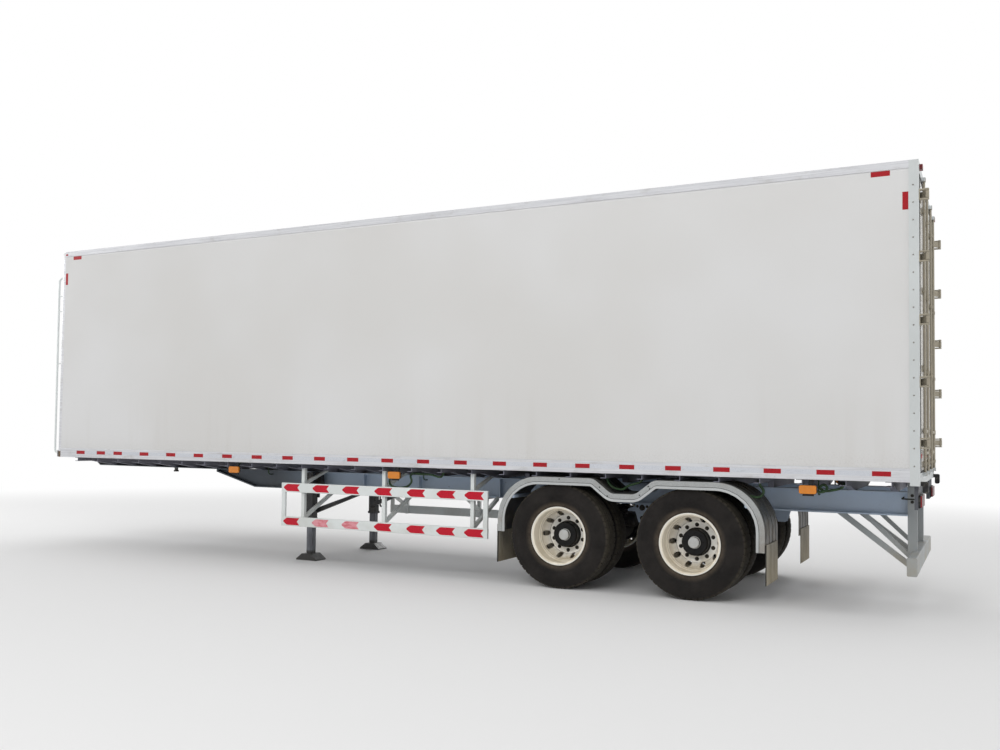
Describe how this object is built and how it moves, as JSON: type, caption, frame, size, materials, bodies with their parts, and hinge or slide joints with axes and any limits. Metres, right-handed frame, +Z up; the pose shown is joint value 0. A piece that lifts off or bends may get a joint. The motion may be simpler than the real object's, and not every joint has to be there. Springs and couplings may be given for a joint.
{
  "type": "two-axle box semi trailer on its landing legs",
  "caption": "White box semi trailer with hinged rear doors, kingpin, landing legs, side guards, twin-wheel tandem bogie under sheet fenders and a rear underride guard.",
  "frame": {"origin": "on the ground, below the middle of the whole trailer's box-shaped outline", "axes": "+X towards the kingpin end, +Y to the trailer's left side, +Z up"},
  "size_m": [10.9375, 2.55, 4],
  "materials": {
    "white_panel": "smooth glossy white sandwich panel",
    "roof_skin": "white roof sheet",
    "rail_metal": "pale anodised extrusion",
    "frame_paint": "light grey painted steel",
    "deck_wood": "dark hardwood planks",
    "chassis_paint": "blue-grey chassis paint, road dirt",
    "galvanised": "dull galvanised steel",
    "black_paint": "black chassis paint, dusty",
    "white_paint": "white painted tube",
    "fender_sheet": "dusty grey sheet",
    "rubber": "dusty rubber",
    "wheel_paint": "cream painted steel, dirty",
    "hub_metal": "black painted casting",
    "tyre": "worn rubber, brown dust",
    "red_lens": "red lamp lens",
    "amber_lens": "amber lamp lens",
    "pin_steel": "greased forged steel"
  },
  "bodies": {
    "chassis": {"left_side_wall": "white_panel", "right_side_wall": "white_panel", "front_wall": "white_panel", "roof": "roof_skin", "bottom_rails": "rail_metal", "top_rails": "rail_metal", "front_corner_posts": "rail_metal", "rear_posts": "frame_paint", "rear_header": "frame_paint", "rear_sill": "frame_paint", "floor": "deck_wood", "main_beams": "chassis_paint", "cross_members": "chassis_paint", "coupler_plate": "chassis_paint", "suspension_hangers": "chassis_paint", "rear_underride_guard": "chassis_paint", "lamp_panels": "chassis_paint", "fender_arms": "chassis_paint", "door_hinge_brackets": "galvanised", "landing_legs": "black_paint", "landing_gear_braces": "black_paint", "axles": "black_paint", "leaf_springs": "black_paint", "brake_chambers": "black_paint", "air_tank": "black_paint", "side_lamp_brackets": "black_paint", "coupling_panel": "black_paint", "lamp_leads": "black_paint", "left_side_guard": "white_paint", "right_side_guard": "white_paint", "front_grab_rail": "white_paint", "left_fender": "fender_sheet", "right_fender": "fender_sheet", "rear_buffers": "rubber", "mud_flaps": "rubber", "tail_lamps": "red_lens", "clearance_lamps": "red_lens", "side_marker_lamps": "amber_lens", "kingpin": "pin_steel"},
    "left_door": {"left_door": "white_panel", "left_door_hardware": "galvanised"},
    "right_door": {"right_door": "white_panel", "right_door_hardware": "galvanised"},
    "front_left_wheel_set": {"front_left_tyres": "tyre", "front_left_wheels": "wheel_paint", "front_left_hub": "hub_metal"},
    "front_right_wheel_set": {"front_right_tyres": "tyre", "front_right_wheels": "wheel_paint", "front_right_hub": "hub_metal"},
    "rear_left_wheel_set": {"rear_left_tyres": "tyre", "rear_left_wheels": "wheel_paint", "rear_left_hub": "hub_metal"},
    "rear_right_wheel_set": {"rear_right_tyres": "tyre", "rear_right_wheels": "wheel_paint", "rear_right_hub": "hub_metal"}
  },
  "joints": [
    {"name": "left_door_hinge", "type": "hinge", "parent": "chassis", "child": "left_door", "pos_m": [-5.441, 1.253, 2.6], "axis": [0, 0, -1], "range_deg": [0, 270]},
    {"name": "right_door_hinge", "type": "hinge", "parent": "chassis", "child": "right_door", "pos_m": [-5.441, -1.253, 2.6], "axis": [0, 0, 1], "range_deg": [0, 270]},
    {"name": "front_left_wheel_spin", "type": "hinge", "parent": "chassis", "child": "front_left_wheel_set", "pos_m": [-2.005, 0, 0.535], "axis": [0, 1, 0], "continuous": true},
    {"name": "front_right_wheel_spin", "type": "hinge", "parent": "chassis", "child": "front_right_wheel_set", "pos_m": [-2.005, 0, 0.535], "axis": [0, 1, 0], "continuous": true},
    {"name": "rear_left_wheel_spin", "type": "hinge", "parent": "chassis", "child": "rear_left_wheel_set", "pos_m": [-3.36, 0, 0.535], "axis": [0, 1, 0], "continuous": true},
    {"name": "rear_right_wheel_spin", "type": "hinge", "parent": "chassis", "child": "rear_right_wheel_set", "pos_m": [-3.36, 0, 0.535], "axis": [0, 1, 0], "continuous": true}
  ]
}
